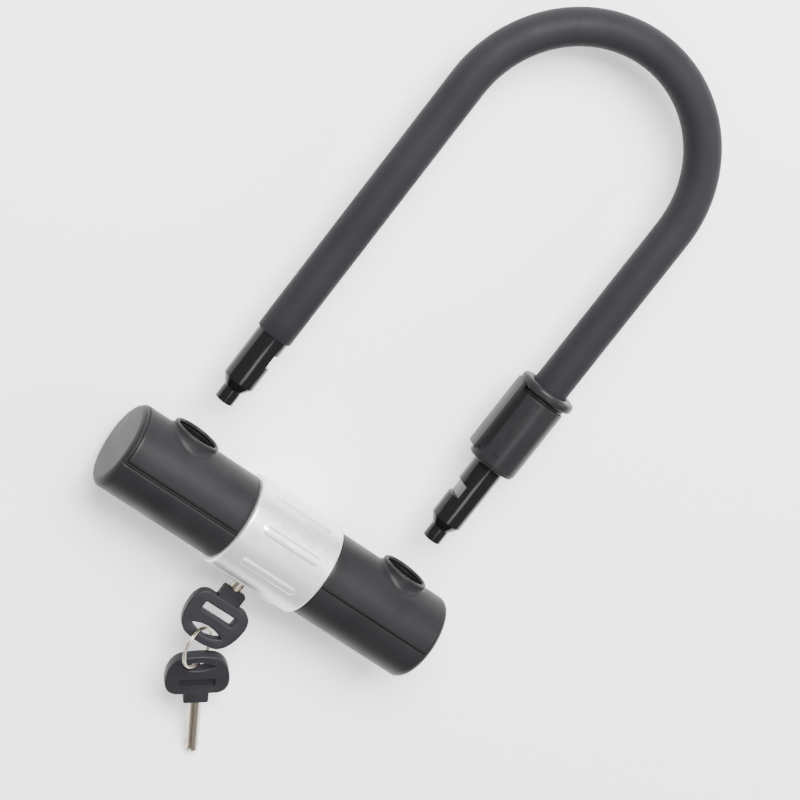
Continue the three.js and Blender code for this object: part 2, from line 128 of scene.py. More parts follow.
# Keys: Y runs from the bow to the tip of the blade, from 0 at the bow's shoulder
NECK_LENGTH = 5.5
NECK_WIDTH = 10.8
BOW_THICK = 5.0
BOW_EDGE = -27.4
SLOT_Y = -21.5
SLOT_HALF = 7.6
WINDOW_Y = -12.4
WINDOW_WIDTH = 15.6
WINDOW_HEIGHT = 4.1
RECESS_DEPTH = 0.9
BLADE_R = 3.05
BLADE_FLAT_Z = -1.3
BLADE_LENGTH = 29.5
BLADE_STEPS = ((8.0, 0.5), (5.2, 1.1), (3.6, 0.0))
BLADE_CHAMFER = 0.7
TANG_LENGTH = 4.5
RING_R = 9.2
RING_WIRE_HALF = (0.5, 0.35)
RING_TURN_STEP = 0.37
RING_TURNS = 2
RING_START = 250
RING_IN_SLOT_B = (0.1, -0.1)
KEY_B_HEADING = 35.9
KEY_B_DROOP = 19.2

# ---------------------------------------------------------------------------
# Places, from the frame
# ---------------------------------------------------------------------------
JOINTS = {joint["name"]: joint for joint in frame["joints"]}


def middle(node):
    low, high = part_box(node)
    return (low + high) / 2


BAR = Matrix.Translation(middle("collar_sleeve"))
TIP_PLANE = Vector((0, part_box("shackle_rod")[0].y, BAR.translation.z))
SHACKLE = Matrix.Translation(TIP_PLANE)
KEY_A = Matrix.Translation(Vector((0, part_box("key_a_bow")[1].y, BAR.translation.z)))


def ring_place():
    """The ring's frame: Z along its axis, X towards the second key's slot."""
    axis = Vector(JOINTS["ring_turn"]["axis"]).normalized()
    centre = Vector(JOINTS["ring_turn"]["pos_m"])
    reach = (Vector(JOINTS["key_b_swing"]["pos_m"]) - centre).normalized()
    rows = (reach, axis.cross(reach), axis)
    return Matrix.Translation(centre) @ Matrix(rows).transposed().to_4x4()


def key_b_place():
    turn = Matrix.Rotation(math.radians(KEY_B_HEADING - 180), 4, "Z")
    turn = turn @ Matrix.Rotation(-math.radians(KEY_B_DROOP), 4, "X")
    in_slot = Vector((RING_IN_SLOT_B[0], SLOT_Y + RING_IN_SLOT_B[1], 0)) * MM
    return Matrix.Translation(Vector(JOINTS["key_b_swing"]["pos_m"]) - turn @ in_slot) @ turn


# ---------------------------------------------------------------------------
# Mesh helpers
# ---------------------------------------------------------------------------
def mesh_piece(name, parts, place, sharp=35.0):
    """One object from (vertices, faces) parts in millimetres, put at place."""
    vertices, faces = [], []
    for part_vertices, part_faces in parts:
        start = len(vertices)
        vertices += [tuple(v) for v in part_vertices]
        faces += [tuple(i + start for i in face) for face in part_faces]
    mesh = bpy.data.meshes.new(name)
    mesh.from_pydata(vertices, [], faces)
    mesh.transform(place @ Matrix.Scale(MM, 4))
    smooth_outward(mesh, sharp)
    piece = bpy.data.objects.new(name, mesh)
    bpy.context.scene.collection.objects.link(piece)
    return piece


def smooth_outward(mesh, sharp):
    """Merges, turns faces outward and shades smooth, with edges over the angle sharp."""
    shape = bmesh.new()
    shape.from_mesh(mesh)
    bmesh.ops.remove_doubles(shape, verts=shape.verts, dist=1e-6)
    bmesh.ops.recalc_face_normals(shape, faces=shape.faces)
    shape.to_mesh(mesh)
    shape.free()
    mesh.polygons.foreach_set("use_smooth", [True] * len(mesh.polygons))
    mesh.set_sharp_from_angle(angle=math.radians(sharp))


def grid(points, wrap_rows=False, wrap_columns=False, keep=None):
    """Quads over an array of points[row][column]; keep(row, column) may drop some."""
    points = np.asarray(points, float)
    rows, columns = points.shape[:2]
    faces = []
    for i in range(rows if wrap_rows else rows - 1):
        for j in range(columns if wrap_columns else columns - 1):
            if keep and not keep(i, j):
                continue
            k, m = (i + 1) % rows, (j + 1) % columns
            faces.append((i * columns + j, i * columns + m, k * columns + m, k * columns + j))
    return points.reshape(-1, 3), faces


def lathe(profile, steps=96, start=0.0, stop=360.0, centre=(0, 0)):
    """A closed profile of (radius, height) turned about Y; a part turn is capped."""
    whole = stop - start >= 360
    count = steps if whole else steps + 1
    rows = []
    for i in range(count):
        angle = math.radians(start + (stop - start) * i / steps)
        rows.append([(centre[0] + r * math.cos(angle), y, centre[1] + r * math.sin(angle))
                     for r, y in profile])
    return grid(rows, wrap_rows=True, wrap_columns=True) if whole else capped(rows)


def rounded(corners, radius, steps=4):
    """A closed outline with its corners rounded; each corner may carry its own radius."""
    outline = []
    count = len(corners)
    for i, corner in enumerate(corners):
        here = np.array(corner[:2], float)
        size = corner[2] if len(corner) > 2 else radius
        before = np.array(corners[i - 1][:2], float) - here
        after = np.array(corners[(i + 1) % count][:2], float) - here
        size = min(size, np.linalg.norm(before) / 2.01, np.linalg.norm(after) / 2.01)
        if size <= 0:
            outline.append(tuple(here))
            continue
        a = here + before / np.linalg.norm(before) * size
        b = here + after / np.linalg.norm(after) * size
        for k in range(steps + 1):
            t = k / steps
            outline.append(tuple((1 - t) ** 2 * a + 2 * t * (1 - t) * here + t * t * b))
    return outline


def bezier(a, b, c, d, steps):
    a, b, c, d = (np.array(p, float) for p in (a, b, c, d))
    return [(1 - t) ** 3 * a + 3 * t * (1 - t) ** 2 * b + 3 * t * t * (1 - t) * c + t ** 3 * d
            for t in np.linspace(0, 1, steps + 1)]


def capped(rows):
    """Closed sections joined into a body, with a flat face at each end."""
    vertices, faces = grid(rows, wrap_columns=True)
    size = len(rows[0])
    faces.append(tuple(range(size)))
    faces.append(tuple(reversed(range((len(rows) - 1) * size, len(rows) * size))))
    return vertices, faces


def extrude_part(outline, z0, z1):
    """A closed outline in X and Y pushed from z0 to z1."""
    return capped([[(x, y, z) for x, y in outline] for z in (z0, z1)])


def apply_modifiers(piece):
    """Puts what the modifiers make in the piece's own mesh."""
    graph = bpy.context.evaluated_depsgraph_get()
    mesh = bpy.data.meshes.new_from_object(piece.evaluated_get(graph))
    piece.modifiers.clear()
    piece.data = mesh


def carve(piece, cutter):
    """Cuts the cutter out of the piece and removes the cutter."""
    modifier = piece.modifiers.new("carve", "BOOLEAN")
    modifier.operation = "DIFFERENCE"
    modifier.solver = "EXACT"
    modifier.object = cutter
    apply_modifiers(piece)
    bpy.data.objects.remove(cutter)


def bevel(piece, width, segments=2, angle=35.0):
    modifier = piece.modifiers.new("bevel", "BEVEL")
    modifier.width = width * MM
    modifier.segments = segments
    modifier.limit_method = "ANGLE"
    modifier.angle_limit = math.radians(angle)


def finish_piece(piece, body, slot_name, material, *nodes):
    """Dresses the piece, rides it on its body and lets it stand for the CAD nodes."""
    piece.data.materials.clear()
    piece.data.materials.append(material)
    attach(piece, body)
    if nodes:
        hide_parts(*nodes)


# ---------------------------------------------------------------------------
# Materials
# ---------------------------------------------------------------------------
class Surface:
    """A principled shader with layers of noise over the object. Scales are per millimetre."""

    def __init__(self, name, color, roughness, metallic=0.0, **sockets):
        self.material = bpy.data.materials.new(name)
        self.material.use_nodes = True
        self.tree = self.material.node_tree
        self.shader = self.tree.nodes["Principled BSDF"]
        self.coordinates = self.tree.nodes.new("ShaderNodeTexCoord").outputs["Object"]
        self.shader.inputs["Base Color"].default_value = (*color, 1)
        self.shader.inputs["Roughness"].default_value = roughness
        self.shader.inputs["Metallic"].default_value = metallic
        for key, value in sockets.items():
            self.shader.inputs[key.replace("_", " ")].default_value = value
        self.color = color
        self.height = None

    def add(self, kind, **settings):
        node = self.tree.nodes.new(kind)
        for key, value in settings.items():
            setattr(node, key, value)
        return node

    def noise(self, per_mm, detail=3.0, roughness=0.55, stretch=(1, 1, 1)):
        mapping = self.add("ShaderNodeMapping")
        mapping.inputs["Scale"].default_value = [per_mm / MM * s for s in stretch]
        self.tree.links.new(self.coordinates, mapping.inputs["Vector"])
        noise = self.add("ShaderNodeTexNoise")
        noise.inputs["Scale"].default_value = 1
        noise.inputs["Detail"].default_value = detail
        noise.inputs["Roughness"].default_value = roughness
        self.tree.links.new(mapping.outputs["Vector"], noise.inputs["Vector"])
        return noise.outputs["Fac"]

    def remap(self, value, low, high, from_low=0.3, from_high=0.7):
        node = self.add("ShaderNodeMapRange")
        node.inputs["From Min"].default_value = from_low
        node.inputs["From Max"].default_value = from_high
        node.inputs["To Min"].default_value = low
        node.inputs["To Max"].default_value = high
        self.tree.links.new(value, node.inputs["Value"])
        return node.outputs["Result"]

    def vary_roughness(self, value, low, high):
        self.tree.links.new(self.remap(value, low, high), self.shader.inputs["Roughness"])
        return self

    def vary_color(self, value, other):
        mix = self.add("ShaderNodeMix", data_type="RGBA")
        mix.inputs["A"].default_value = (*self.color, 1)
        mix.inputs["B"].default_value = (*other, 1)
        self.tree.links.new(self.remap(value, 0, 1), mix.inputs["Factor"])
        self.tree.links.new(mix.outputs["Result"], self.shader.inputs["Base Color"])
        return self

    def bump(self, value, depth_mm, strength):
        node = self.add("ShaderNodeBump")
        node.inputs["Distance"].default_value = depth_mm * MM
        node.inputs["Strength"].default_value = strength
        self.tree.links.new(value, node.inputs["Height"])
        if self.height:
            self.tree.links.new(self.height, node.inputs["Normal"])
        self.height = node.outputs["Normal"]
        self.tree.links.new(self.height, self.shader.inputs["Normal"])
        return self


def moulded_plastic(name, color, roughness, grain_mm, grain_depth, specular=0.2):
    surface = Surface(name, color, roughness, Specular_IOR_Level=specular)
    grain = surface.noise(1 / grain_mm, detail=2)
    broad = surface.noise(0.05, detail=4)
    surface.vary_roughness(broad, roughness - 0.05, roughness + 0.06)
    surface.vary_color(broad, tuple(c * 1.3 for c in color))
    surface.bump(grain, grain_depth, 0.6)
    return surface.material


def cover_plastic():
    return moulded_plastic("cover_plastic", (0.0125, 0.0116, 0.0128), 0.42, 0.35, 0.014, 0.11)


def liner_rubber():
    return moulded_plastic("liner_rubber", (0.003, 0.003, 0.0033), 0.5, 0.5, 0.01, 0.08)


def sleeve_plastic():
    return moulded_plastic("sleeve_plastic", (0.0125, 0.0125, 0.0135), 0.32, 0.8, 0.008, 0.13)


def key_plastic():
    return moulded_plastic("key_plastic", (0.0125, 0.012, 0.0146), 0.5, 0.3, 0.12, 0.2)


def vinyl():
    surface = Surface("vinyl_coating", (0.0138, 0.0132, 0.0156), 0.55, Specular_IOR_Level=0.08)
    fine = surface.noise(2.6, detail=3)
    drawn = surface.noise(0.5, detail=3, stretch=(1, 0.25, 1))
    broad = surface.noise(0.03, detail=3)
    surface.vary_color(broad, (0.0175, 0.017, 0.0196))
    surface.vary_roughness(drawn, 0.48, 0.6)
    surface.bump(fine, 0.014, 0.5).bump(drawn, 0.02, 0.4)
    return surface.material


def black_steel():
    surface = Surface("black_steel", (0.004, 0.004, 0.0048), 0.17, Specular_IOR_Level=0.24)
    turned = surface.noise(0.9, detail=4, stretch=(0.3, 2.0, 0.3))
    spots = surface.noise(1.1, detail=5, roughness=0.7)
    surface.vary_roughness(spots, 0.09, 0.17)
    surface.vary_color(spots, (0.0075, 0.0068, 0.0068))
    surface.bump(turned, 0.012, 0.35).bump(spots, 0.012, 0.3)
    return surface.material


def satin_silver():
    surface = Surface("satin_silver", (0.86, 0.86, 0.85), 0.34, metallic=0.7)
    fine = surface.noise(3.5, detail=3)
    cast = surface.noise(0.35, detail=4)
    broad = surface.noise(0.04, detail=3)
    surface.vary_roughness(cast, 0.29, 0.39)
    surface.vary_color(broad, (0.82, 0.82, 0.81))
    surface.bump(fine, 0.008, 0.5).bump(cast, 0.03, 0.3)
    return surface.material


def nickel():
    surface = Surface("nickel", (0.6, 0.54, 0.44), 0.22, metallic=1.0)
    worn = surface.noise(0.5, detail=5)
    scratch = surface.noise(1.4, detail=3, stretch=(3, 0.3, 3))
    surface.vary_roughness(worn, 0.15, 0.32)
    surface.vary_color(worn, (0.42, 0.37, 0.3))
    surface.bump(scratch, 0.012, 0.35)
    return surface.material


def machined(name, color, roughness):
    surface = Surface(name, color, roughness, metallic=1.0)
    marks = surface.noise(1.2, detail=4, stretch=(0.4, 2.5, 0.4))
    stain = surface.noise(0.12, detail=4)
    surface.vary_roughness(marks, roughness - 0.06, roughness + 0.1)
    surface.vary_color(stain, tuple(c * 0.78 for c in color))
    surface.bump(marks, 0.01, 0.4)
    return surface.material


# ---------------------------------------------------------------------------
# Covers
# ---------------------------------------------------------------------------
def on_cover(x, arc, radius):
    """A point of the cover: x along the bar, arc measured round it from the socket side."""
    angle = arc / COVER_R
    return (x, radius * math.cos(angle), radius * math.sin(angle))


def upper_edge_points(spacing=1.1):
    """The upper shell's outline on the unrolled cover, round its socket."""
    half_arc = QUARTER_ARC - SEAM_GAP
    corners = [(COVER_START, -half_arc), (COVER_SPLIT, -half_arc), (COVER_SPLIT, half_arc),
               (COVER_START, half_arc)]
    points = []
    for (x0, s0), (x1, s1) in zip(corners, corners[1:] + corners[:1]):
        count = int(math.hypot(x1 - x0, s1 - s0) / spacing)
        points += [(x0 + (x1 - x0) * i / count, s0 + (s1 - s0) * i / count) for i in range(count)]
    return points


def neck_to_cover(cosine, sine):
    """The fillet from the neck's wall out to the cover, along one direction from the socket."""
    wall = RIM_R - 0.1
    reach = NECK_REACH - 0.3 * abs(sine)
    z = reach * sine
    y = math.sqrt(COVER_R ** 2 - z * z)
    slope = -z * sine / y
    length = math.hypot(1, slope)
    pull = 0.9 - 0.7 * abs(sine)
    inward = (-pull / length, -slope * pull / length)
    top = RIM_TOP - 1.5
    drop = max(0.3, top - y) * (0.55 + 0.37 * abs(sine))
    curve = bezier((wall, top), (wall, top - drop), (reach + inward[0], y + inward[1]),
                   (reach, y), 9)
    return [(LEG_X + r * cosine, h, r * sine) for r, h in curve]


def cover_upper_rows():
    """Closed sections of the upper shell, each from the socket out to its outline and back."""
    rows = []
    bead = [(RIM_BORE_R + RIM_LIP * (1 - math.cos(a)) * 1.1,
             RIM_TOP - RIM_LIP + RIM_LIP * math.sin(a))
            for a in np.linspace(0, math.pi, 11)]
    bore = [(NECK_BORE_R, SOCKET_LOW), (NECK_BORE_R, LINER_TOP + 0.2),
            (RIM_BORE_R + 0.2, LINER_TOP + 0.35), (RIM_BORE_R, LINER_TOP + 0.6)]
    for x_edge, arc_edge in upper_edge_points():
        angle = math.atan2(arc_edge, x_edge - LEG_X)
        cosine, sine = math.cos(angle), math.sin(angle)
        row = [(LEG_X + r * cosine, y, r * sine) for r, y in bore + bead]
        fillet = neck_to_cover(cosine, sine)
        row += fillet
        foot_x, _, foot_z = fillet[-1]
        foot_arc = COVER_R * math.asin(foot_z / COVER_R)
        run_x, run_arc = x_edge - foot_x, arc_edge - foot_arc
        run = math.hypot(run_x, run_arc)
        for t in list(np.linspace(0, 1 - SEAM_EDGE / run, 14)[1:]) + [1 - 0.1 / run, 1.0]:
            inset = (1 - t) * run
            radius = COVER_R - SEAM_EDGE_DROP * max(0, 1 - inset / SEAM_EDGE) ** 2
            row.append(on_cover(foot_x + run_x * t, foot_arc + run_arc * t, radius))
        for t in np.linspace(1, 0, 5):
            row.append(on_cover(foot_x + run_x * t, foot_arc + run_arc * t, COVER_INNER_R))
        rows.append(row)
    return rows


def lower_arcs():
    """Arcs round the cover: the lower half, close together by its seams, then the upper half."""
    fine = [0.15, 0.3, 0.5, 0.75, 0.95, 1.1, 1.2, 1.3, 1.45, 1.65, 1.9, 2.3, 3.0]
    first, last = QUARTER_ARC, 3 * QUARTER_ARC
    lower = [first + f for f in fine] + list(np.linspace(first + 4, last - 4, 48))
    lower += [last - f for f in reversed(fine)]
    upper = list(np.linspace(last, 5 * QUARTER_ARC, 50))
    return lower, upper[1:-1]


def cover_lower_part(grooved):
    """Outer skin of the lower shell with the whole round end, before it is thickened."""
    lower, upper = lower_arcs()
    arcs = lower + upper
    rows = []
    for x in np.linspace(COVER_START, COVER_SPLIT, 30):
        rows.append([lower_point(x, arc, COVER_R, grooved) for arc in arcs])
    cap_row = len(rows)
    centre = BAR_HALF - END_DOME - END_ROUND
    first_turn = math.asin((COVER_SPLIT + SPLIT_GAP - centre) / END_ROUND)
    for angle in np.linspace(first_turn, math.pi / 2, 24):
        x = centre + END_ROUND * math.sin(angle)
        r = COVER_R - END_ROUND * (1 - math.cos(angle))
        rows.append([lower_point(x, arc, r, grooved) for arc in arcs])
    face_r = COVER_R - END_ROUND
    for r in (14, 10, 6, 3, 0.4):
        dome = BAR_HALF - END_DOME * (r / face_r) ** 2
        rows.append([on_cover(dome, arc, r) for arc in arcs])

    def keep(i, j):
        return i >= cap_row or j < len(lower) - 1

    vertices, faces = grid(rows, wrap_columns=True, keep=keep)
    size = len(arcs)
    faces.append(tuple(range((len(rows) - 1) * size, len(rows) * size)))
    return vertices, faces


def lower_point(x, arc, radius, grooved):
    """On a grooved cover a second line runs round the seam, just outside it."""
    if not grooved:
        return on_cover(x, arc, radius)
    below = min(arc - QUARTER_ARC, 3 * QUARTER_ARC - arc) - GROOVE_OFFSET
    beyond = x - COVER_SPLIT - GROOVE_OFFSET
    away = math.hypot(max(beyond, 0), max(below, 0)) + min(max(beyond, below), 0)
    return on_cover(x, arc, radius - GROOVE_DEPTH * math.exp(-(away / GROOVE_WIDTH) ** 2))


def solid_shell(piece, thickness):
    """Thickens a skin inward and rounds its rims."""
    modifier = piece.modifiers.new("thickness", "SOLIDIFY")
    modifier.thickness = thickness * MM
    modifier.offset = -1
    bevel(piece, 0.2, 2, 60)
    apply_modifiers(piece)
    smooth_outward(piece.data, 40)


def drop_loose(mesh):
    """Removes points that belong to no face."""
    shape = bmesh.new()
    shape.from_mesh(mesh)
    loose = [v for v in shape.verts if not v.link_faces]
    bmesh.ops.delete(shape, geom=loose, context="VERTS")
    shape.to_mesh(mesh)
    shape.free()


def build_covers(material):
    half_turn = Matrix.Rotation(math.pi, 4, "Y")
    for side, place in (("right", BAR), ("left", BAR @ half_turn)):
        upper = mesh_piece(f"cover_shell_{side}_upper",
                           [grid(cover_upper_rows(), wrap_rows=True, wrap_columns=True)], place, 50)
        finish_piece(upper, "crossbar", "cover_plastic", material, f"cover_{side}_upper")
        lower_part = cover_lower_part(grooved=side == "left")
        lower = mesh_piece(f"cover_shell_{side}_lower", [lower_part], place, 40)
        drop_loose(lower.data)
        solid_shell(lower, LOWER_THICKNESS)
        finish_piece(lower, "crossbar", "cover_plastic", material, f"cover_{side}_lower")


def build_liners(material):
    profile = rounded([(LINER_BORE_R, LINER_LOW), (LINER_R, LINER_LOW), (LINER_R, LINER_TOP, 0.3),
                       (LINER_BORE_R, LINER_TOP, 0.5)], 0.2)
    for side, x in (("left", -LEG_X), ("right", LEG_X)):
        place = BAR @ Matrix.Translation((x * MM, 0, 0))
        liner = mesh_piece(f"liner_{side}", [lathe(profile)], place)
        finish_piece(liner, "crossbar", "vinyl", material, f"socket_liner_{side}")


# ---------------------------------------------------------------------------
# Collar
# ---------------------------------------------------------------------------
def rib_height(x, arc):
    """Height of the raised ribs over the collar, at x along it and arc round it."""
    pitch = 2 * math.pi * COLLAR_R / RIB_COUNT
    across = (arc % pitch) - pitch / 2
    along = max(0.0, abs(x) - (RIB_LENGTH - RIB_WIDTH) / 2)
    reach = math.hypot(along, across) / (RIB_WIDTH / 2)
    if reach >= 1:
        return 0.0
    return RIB_HEIGHT * (1 - reach ** 3) ** 0.7


def collar_rows():
    """Closed sections of the collar, one for each step round it."""
    flat = COLLAR_HALF - COLLAR_EDGE
    ribbed = [(x, None) for x in np.linspace(-flat, flat, 96)]
    ends = [(flat + COLLAR_EDGE * math.sin(a), COLLAR_R - COLLAR_EDGE * (1 - math.cos(a)))
            for a in np.linspace(0, math.pi / 2, 6)[1:]]
    inner = [(COLLAR_HALF, COLLAR_INNER_R), (-COLLAR_HALF, COLLAR_INNER_R)]
    outline = ribbed + ends + inner + [(-x, r) for x, r in reversed(ends)]
    rows = []
    for i in range(COLLAR_STEPS):
        angle = 2 * math.pi * i / COLLAR_STEPS
        arc = angle * COLLAR_R
        row = []
        for x, radius in outline:
            r = COLLAR_R + rib_height(x, arc) if radius is None else radius
            row.append((x, r * math.cos(angle), r * math.sin(angle)))
        rows.append(row)
    return rows


def build_collar(material):
    shape = grid(collar_rows(), wrap_rows=True, wrap_columns=True)
    collar = mesh_piece("collar", [shape], BAR, 60)
    outside, inside = -24, -12
    bore = [(0, outside), (KEYWAY_BORE_R, outside), (KEYWAY_BORE_R, inside), (0, inside)]
    carve(collar, mesh_piece("collar_bore", [lathe(bore)], BAR))
    collar.data.set_sharp_from_angle(angle=math.radians(50))
    finish_piece(collar, "crossbar", "satin_silver", material, "collar_sleeve")


# ---------------------------------------------------------------------------
# Shackle
# ---------------------------------------------------------------------------
def shackle_line(left_start, right_start, leg_steps=14, bow_steps=72):
    """Points and directions down the left leg, round the bow and along the right leg."""
    line = []
    for t in np.linspace(0, 1, leg_steps + 1)[:-1]:
        line.append(((-LEG_X, left_start + (BEND_CENTRE - left_start) * t), (0, 1)))
    for t in np.linspace(0, 1, bow_steps + 1):
        angle = math.pi * (1 - t)
        line.append(((LEG_X * math.cos(angle), BEND_CENTRE + LEG_X * math.sin(angle)),
                     (math.sin(angle), -math.cos(angle))))
    for t in np.linspace(0, 1, leg_steps + 1)[1:]:
        line.append(((LEG_X, BEND_CENTRE + (right_start - BEND_CENTRE) * t), (0, -1)))
    return line


def swept(line, radii, sides=64):
    """Rings round a line in the XY plane; radii has one radius for each point of it."""
    rows = []
    for ((x, y), (dx, dy)), radius in zip(line, radii):
        normal = (dy, -dx)
        ring = []
        for k in range(sides):
            a = 2 * math.pi * k / sides
            out = radius * math.cos(a)
            ring.append((x + normal[0] * out, y + normal[1] * out, radius * math.sin(a)))
        rows.append(ring)
    return rows


def build_coating(material):
    line = shackle_line(COATING_START_LEFT, COATING_START_RIGHT)
    middle_line = line[1:-1]

    def end_rings(end):
        (x, y), direction = end
        return [end, end, ((x, y + COATING_EDGE), direction)]

    outside = end_rings(line[0]) + middle_line + end_rings(line[-1])[::-1]
    end_radii = [COATING_BORE_R, COATING_R - COATING_EDGE, COATING_R]
    radii = end_radii + [COATING_R] * len(middle_line) + end_radii[::-1]
    rows = swept(outside + middle_line[::-1], radii + [COATING_BORE_R] * len(middle_line))
    shape = grid(rows, wrap_rows=True, wrap_columns=True)
    coating = mesh_piece("vinyl_sleeve", [shape], SHACKLE, 50)
    finish_piece(coating, "shackle", "vinyl", material, "shackle_coating")


def notch_cutter(side):
    """A flat-bottomed notch with sloping sides, on the side that faces the other leg."""
    floor = LEG_X - TIP_R + NOTCH_DEPTH
    mouth = LEG_X - TIP_R - NOTCH_OVERCUT
    slope = (NOTCH_MOUTH_HALF - NOTCH_FLOOR_HALF) / NOTCH_DEPTH
    spread = NOTCH_MOUTH_HALF + slope * NOTCH_OVERCUT
    outline = [(floor, NOTCH_Y - NOTCH_FLOOR_HALF), (floor, NOTCH_Y + NOTCH_FLOOR_HALF),
               (mouth, NOTCH_Y + spread), (mouth, NOTCH_Y - spread)]
    if side < 0:
        outline = [(-x, y) for x, y in reversed(outline)]
    return mesh_piece("notch_cutter", [extrude_part(outline, -9, 9)], SHACKLE)


def build_rod(material):
    """The steel under the coating, and the two bare tips that run a little way into it."""
    core_inset, tip_inset, sides = 2, 3, 48
    line = shackle_line(COATING_START_LEFT - core_inset, COATING_START_RIGHT - core_inset, 2, 60)
    rows = swept(line, [ROD_R] * len(line), sides)
    first, last = [[(*end[0], 0)] * sides for end in (line[0], line[-1])]
    core = mesh_piece("shackle_core", [grid([first] + rows + [last], wrap_columns=True)], SHACKLE)
    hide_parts("shackle_rod")
    finish_piece(core, "shackle", "black_steel", material)
    for name, side, start in (("left", -1, COATING_START_LEFT), ("right", 1, COATING_START_RIGHT)):
        top = start + tip_inset
        profile = rounded([(0, 0, 0), (PIN_R, 0, 0.55), (PIN_R, PIN_LENGTH, 0.3),
                           (TIP_R, CONE_TOP, 0.25), (TIP_R, top, 0), (0, top, 0)], 0.2, 5)
        shape = lathe(profile, centre=(side * LEG_X, 0))
        tip = mesh_piece(f"leg_tip_{name}", [shape], SHACKLE)
        carve(tip, notch_cutter(side))
        bevel(tip, 0.22, 3, 32)
        apply_modifiers(tip)
        tip.data.set_sharp_from_angle(angle=math.radians(30))
        finish_piece(tip, "shackle", "black_steel", material)


# ---------------------------------------------------------------------------
# Carrier sleeve
# ---------------------------------------------------------------------------
def sleeve_core():
    """The tube round the leg, thicker at its foot."""
    base = SLEEVE_END - FLANGE_LENGTH
    tube_r = SLEEVE_R - 1.3
    foot_r = SLEEVE_R - 0.4
    profile = rounded([(SLEEVE_BORE_R, SLEEVE_START, 0.5), (foot_r, SLEEVE_START, 1.1),
                       (foot_r, SLEEVE_START + 4.5, 0.5), (tube_r, SLEEVE_START + 6, 1.2),
                       (tube_r, base + 1, 0), (SLEEVE_BORE_R, base + 1, 0)], 0.2, 5)
    return lathe(profile)


def sleeve_flange():
    """The round flange at the upper end, and a narrower step under it."""
    base = SLEEVE_END - FLANGE_LENGTH
    step_r = SLEEVE_R - 0.75
    lip = rounded([(SLEEVE_BORE_R, base, 0.2), (FLANGE_R, base, 1.5), (FLANGE_R, SLEEVE_END, 1.9),
                   (SLEEVE_BORE_R, SLEEVE_END, 0.8)], 0.4, 6)
    step = rounded([(SLEEVE_BORE_R, base - 1.5, 0), (step_r, base - 1.5, 0.3),
                    (step_r, base - 0.55, 0.2), (SLEEVE_BORE_R, base - 0.55, 0)], 0.2, 3)
    return [lathe(lip), lathe(step)]


def sleeve_sector(inner, outer, low, high, start, stop, steps):
    """A part of the round shell, between two angles from the side away from the other leg."""
    profile = rounded([(inner, low, 0.1), (outer, low, 1.0), (outer, high, 0.4),
                       (inner, high, 0.1)], 0.2, 5)
    return lathe(profile, steps, start, stop)


def sleeve_shells():
    """The shell with a low ridge down it, then the rail: a flat wall and the web behind it."""
    base = SLEEVE_END - FLANGE_LENGTH
    shell_top = base - 1.9
    rail_low = SLEEVE_START + 3.0
    rail_top = base + 1.0
    inner = SLEEVE_R - 1.6
    wide = sleeve_sector(inner, SLEEVE_R, SLEEVE_START + 1.2, shell_top, -142, 143, 80)
    ridge = sleeve_sector(inner, SLEEVE_R + 0.3, SLEEVE_START + 5.5, shell_top, 108, 120, 6)
    web = sleeve_sector(SLEEVE_R - 2.0, SLEEVE_R + 0.8, rail_low + 0.6, rail_top, 163, 197, 16)
    wall_x = -FLANGE_R + RAIL_THICK
    wall = rounded([(-FLANGE_R, rail_low, 1.4), (wall_x, rail_low, 0.5), (wall_x, rail_top, 0),
                    (-FLANGE_R, rail_top, 0)], 0.2, 5)
    return [wide, ridge, web, extrude_part(wall, RAIL_LOW_Z, RAIL_HIGH_Z)]


def build_sleeve(material):
    parts = [sleeve_core()] + sleeve_flange() + sleeve_shells()
    place = SHACKLE @ Matrix.Translation((LEG_X * MM, 0, 0))
    sleeve = mesh_piece("sleeve", parts, place, 35)
    bevel(sleeve, 0.4, 3, 50)
    apply_modifiers(sleeve)
    sleeve.data.set_sharp_from_angle(angle=math.radians(40))
    finish_piece(sleeve, "carrier", "sleeve_plastic", material, "carrier_sleeve")


# ---------------------------------------------------------------------------
# Keys
# ---------------------------------------------------------------------------
def bow_outline():
    """The bow seen from above: a rounded pentagon, wide end away from the neck."""
    start = -NECK_LENGTH
    widest = (-13.9, start - 8.4)
    left = bezier((-8.6, start - 0.2), (-12.6, start - 0.8), (-14.1, start - 4.2), widest, 12)
    left += bezier(widest, (-13.7, start - 13.7), (-12, BOW_EDGE + 2.5),
                   (-7.4, BOW_EDGE + 0.9), 12)[1:]
    edge = [(x, BOW_EDGE + 0.9 * (x / 7.4) ** 2) for x in np.linspace(-7.4, 7.4, 15)[1:-1]]
    right = [(-x, y) for x, y in reversed(left)]
    return [tuple(p) for p in left] + edge + right


def slot_outline():
    """The ring's slot: two arches that meet in points."""
    ends = SLOT_Y + 0.3

    def arch(x, height):
        return (x, ends + height * (1 - (x / SLOT_HALF) ** 2))

    across = np.linspace(-SLOT_HALF, SLOT_HALF, 17)
    return [arch(x, -2.5) for x in across] + [arch(x, 2.1) for x in across[::-1][1:-1]]


def window_outline():
    w = WINDOW_WIDTH / 2
    low, high = WINDOW_Y - WINDOW_HEIGHT / 2, WINDOW_Y + WINDOW_HEIGHT / 2
    return rounded([(-w, low), (w, low), (w, high), (-w, high)], 0.7, 4)


